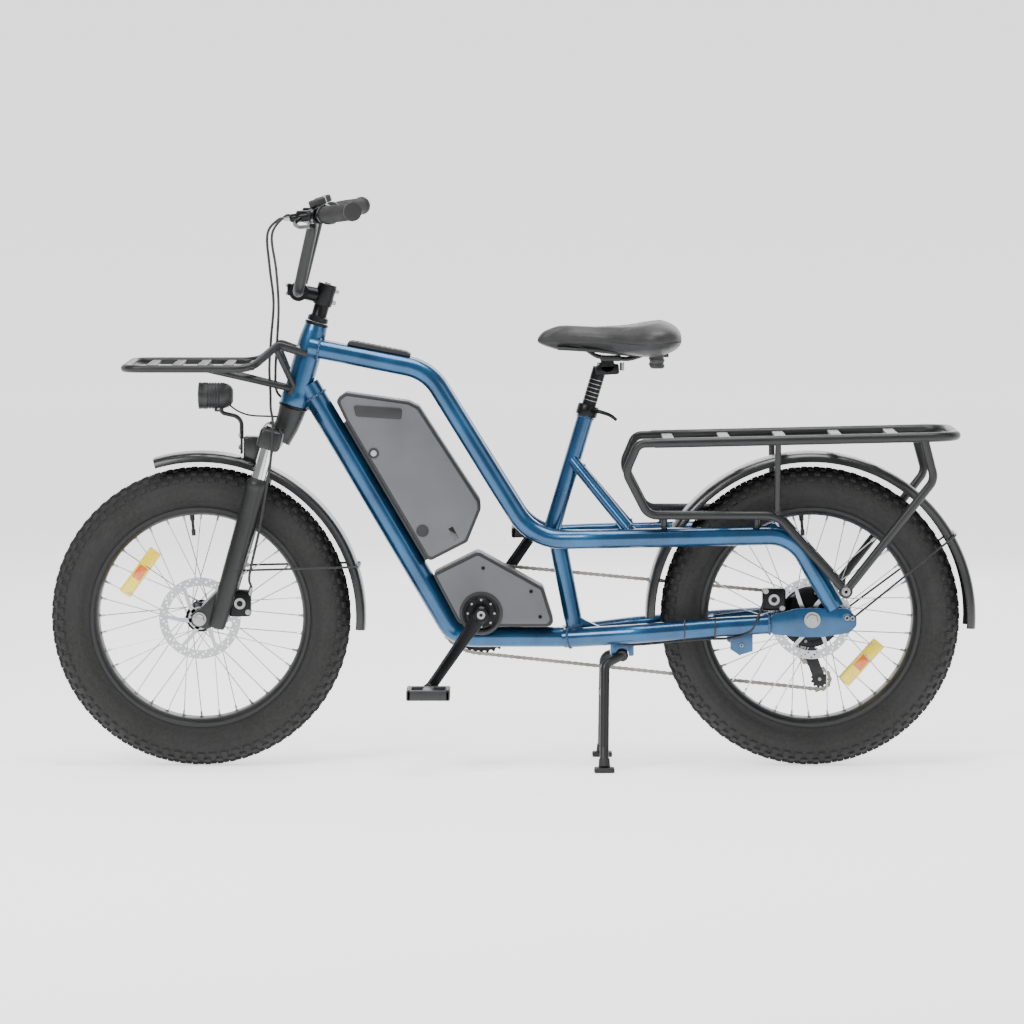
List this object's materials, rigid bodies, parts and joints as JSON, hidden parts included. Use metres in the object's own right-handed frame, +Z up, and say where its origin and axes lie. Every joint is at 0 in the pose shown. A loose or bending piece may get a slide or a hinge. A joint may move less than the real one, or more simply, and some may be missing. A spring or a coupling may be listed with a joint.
{
  "type": "electric cargo bicycle",
  "caption": "Fat-tyre electric cargo bicycle with twin main tubes, front and rear racks, fenders, battery and a two-leg centre stand.",
  "frame": {"origin": "on the floor under the middle of the whole bicycle's box", "axes": "+Z up, -X towards the front wheel, +Y towards the chain side"},
  "size_m": [1.82, 0.683, 1.1233],
  "materials": {
    "blue_paint": "metallic satin",
    "black_metal": "satin powder coat",
    "black_plastic": "satin",
    "grey_case": "matt with black edges",
    "saddle_cover": "grained vinyl",
    "tyre_rubber": "matt",
    "soft_rubber": "satin",
    "steel": "brushed"
  },
  "bodies": {
    "frame": {"head_tube": "blue_paint", "left_main_tube": "blue_paint", "right_main_tube": "blue_paint", "down_tube": "blue_paint", "seat_tube": "blue_paint", "left_seat_strut": "blue_paint", "right_seat_strut": "blue_paint", "left_lower_stay": "blue_paint", "right_lower_stay": "blue_paint", "left_dropout": "blue_paint", "right_dropout": "blue_paint", "bottom_bracket": "black_metal", "stand_bracket": "blue_paint", "battery": "grey_case", "drive_cover": "grey_case", "top_tube_pad": "black_plastic", "seat_post": "black_metal", "saddle_rails": "black_metal", "saddle": "saddle_cover", "rear_rack_deck": "black_metal", "left_rear_rack_side": "black_metal", "right_rear_rack_side": "black_metal", "front_rack": "black_metal", "rear_fender": "black_plastic", "rear_axle": "steel", "rear_caliper": "black_metal", "derailleur": "black_metal", "chain": "steel", "rear_brake_hose": "soft_rubber"},
    "steering": {"fork_crown": "black_metal", "left_fork_leg": "black_metal", "right_fork_leg": "black_metal", "front_axle": "steel", "stem": "black_metal", "handlebar": "black_metal", "left_grip": "soft_rubber", "right_grip": "soft_rubber", "left_controls": "black_plastic", "right_controls": "black_plastic", "headlight": "black_plastic", "front_fender": "black_plastic", "front_caliper": "black_metal", "front_brake_hose": "soft_rubber"},
    "front_wheel": {"front_tyre": "tyre_rubber", "front_rim": "black_metal", "front_hub": "black_metal", "front_rotor": "steel"},
    "rear_wheel": {"rear_tyre": "tyre_rubber", "rear_rim": "black_metal", "rear_hub_motor": "black_metal", "rear_rotor": "steel", "cassette": "steel"},
    "crankset": {"left_crank": "black_metal", "right_crank": "black_metal"},
    "left_pedal_body": {"left_pedal": "black_plastic"},
    "right_pedal_body": {"right_pedal": "black_plastic"},
    "stand": {"center_stand": "black_metal"}
  },
  "joints": [
    {"name": "steering", "type": "hinge", "parent": "frame", "child": "steering", "pos_m": [-0.4095, 0, 0.79], "axis": [0.2756, 0, 0.9613], "range_deg": [-50, 50], "deforming": ["front_brake_hose", "rear_brake_hose"]},
    {"name": "front_wheel_spin", "type": "hinge", "parent": "steering", "child": "front_wheel", "pos_m": [-0.615, 0, 0.295], "axis": [0, 1, 0], "continuous": true},
    {"name": "rear_wheel_spin", "type": "hinge", "parent": "frame", "child": "rear_wheel", "pos_m": [0.585, 0, 0.295], "axis": [0, 1, 0], "continuous": true},
    {"name": "crank_spin", "type": "hinge", "parent": "frame", "child": "crankset", "pos_m": [-0.063, 0, 0.304], "axis": [0, 1, 0], "continuous": true},
    {"name": "left_pedal_spin", "type": "hinge", "parent": "crankset", "child": "left_pedal_body", "pos_m": [-0.1651, 0, 0.15819], "axis": [0, 1, 0], "continuous": true},
    {"name": "right_pedal_spin", "type": "hinge", "parent": "crankset", "child": "right_pedal_body", "pos_m": [0.0391, 0, 0.44981], "axis": [0, 1, 0], "continuous": true},
    {"name": "stand_fold", "type": "hinge", "parent": "frame", "child": "stand", "pos_m": [0.214, 0, 0.222], "axis": [0, -1, 0], "range_deg": [0, 69]}
  ]
}
